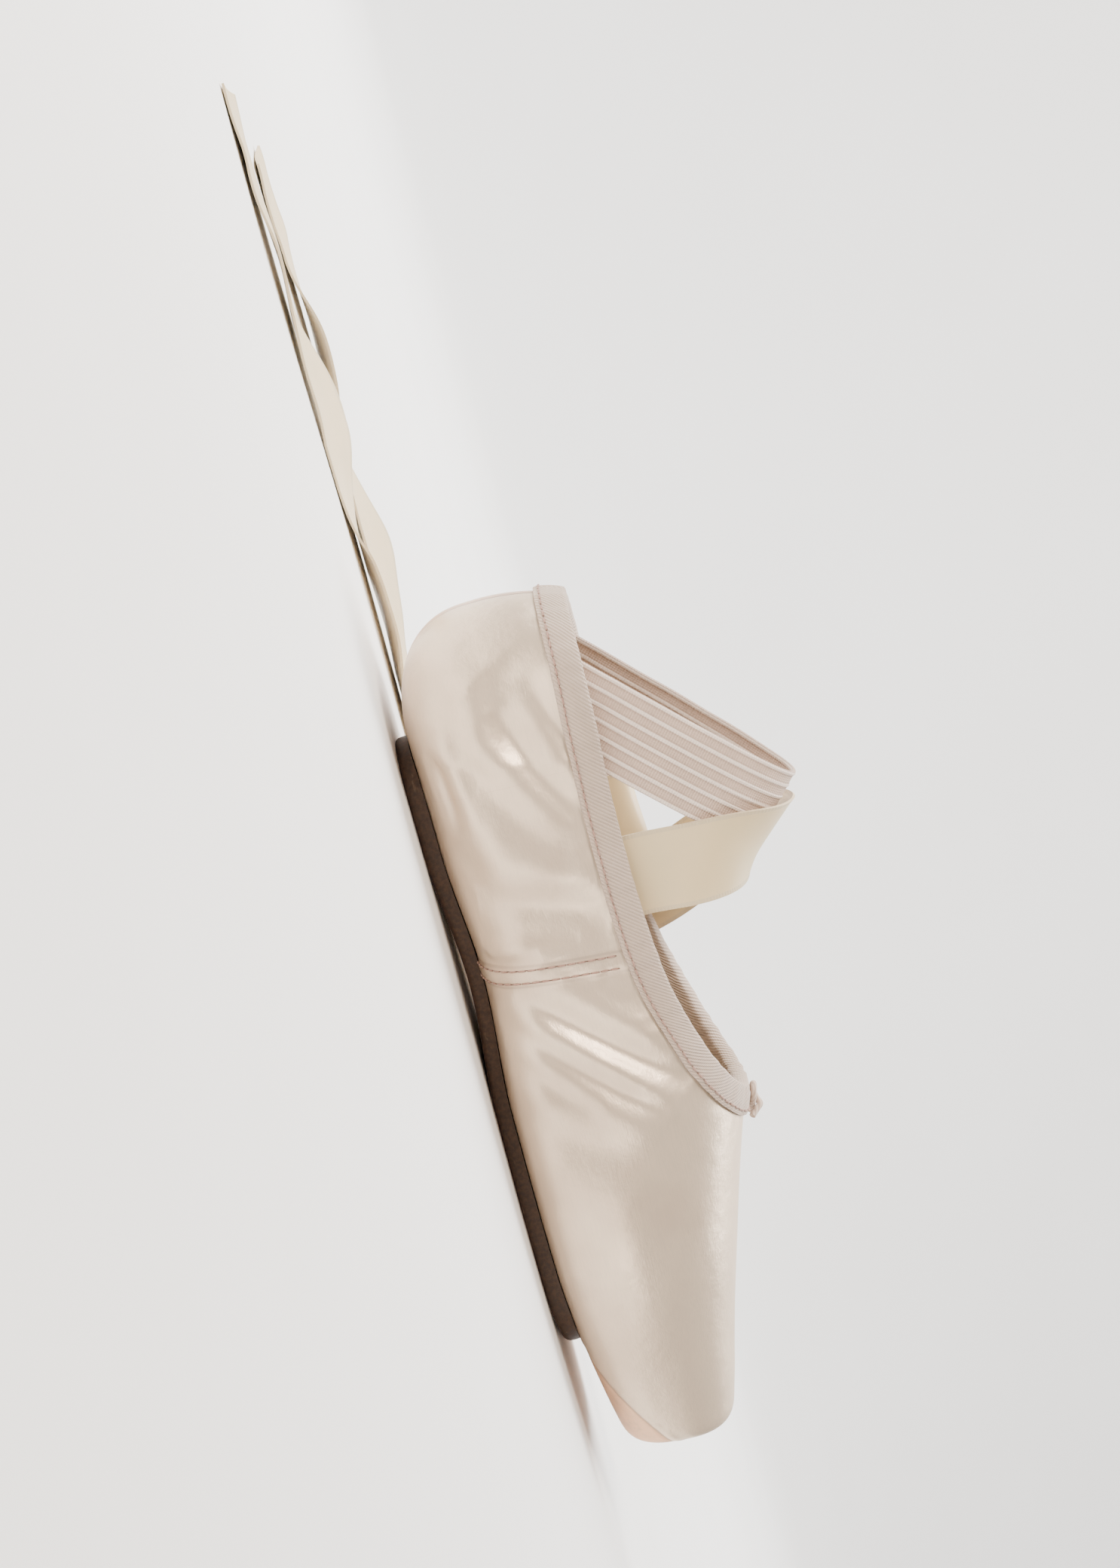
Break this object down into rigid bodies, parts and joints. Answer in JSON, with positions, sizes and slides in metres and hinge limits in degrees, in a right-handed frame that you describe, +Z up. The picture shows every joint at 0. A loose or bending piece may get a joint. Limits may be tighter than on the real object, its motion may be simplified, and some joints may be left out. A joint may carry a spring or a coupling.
{
  "type": "pointe shoe",
  "caption": "Satin pointe shoe with a flat toe platform, a waisted leather outsole, a bound collar, an elastic over the instep and two loose ribbon ties.",
  "frame": {"origin": "middle of the shoe's length and width, on the floor that its outsole rests on", "axes": "+X towards the toe platform, +Y to the side on which both ties lie, +Z up"},
  "size_m": [0.3812, 0.1439, 0.1008],
  "materials": {
    "satin": "pale pink satin",
    "sole_leather": "buffed suede leather",
    "lining": "matt cotton",
    "tape": "twill tape",
    "elastic": "ribbed elastic",
    "ribbon": "soft satin"
  },
  "bodies": {
    "root": {"outsole": "sole_leather", "upper": "satin", "insole": "lining", "collar_binding": "tape", "drawstring_knot": "tape", "instep_elastic": "elastic", "ribbon_near": "ribbon", "ribbon_far": "ribbon"}
  },
  "joints": []
}
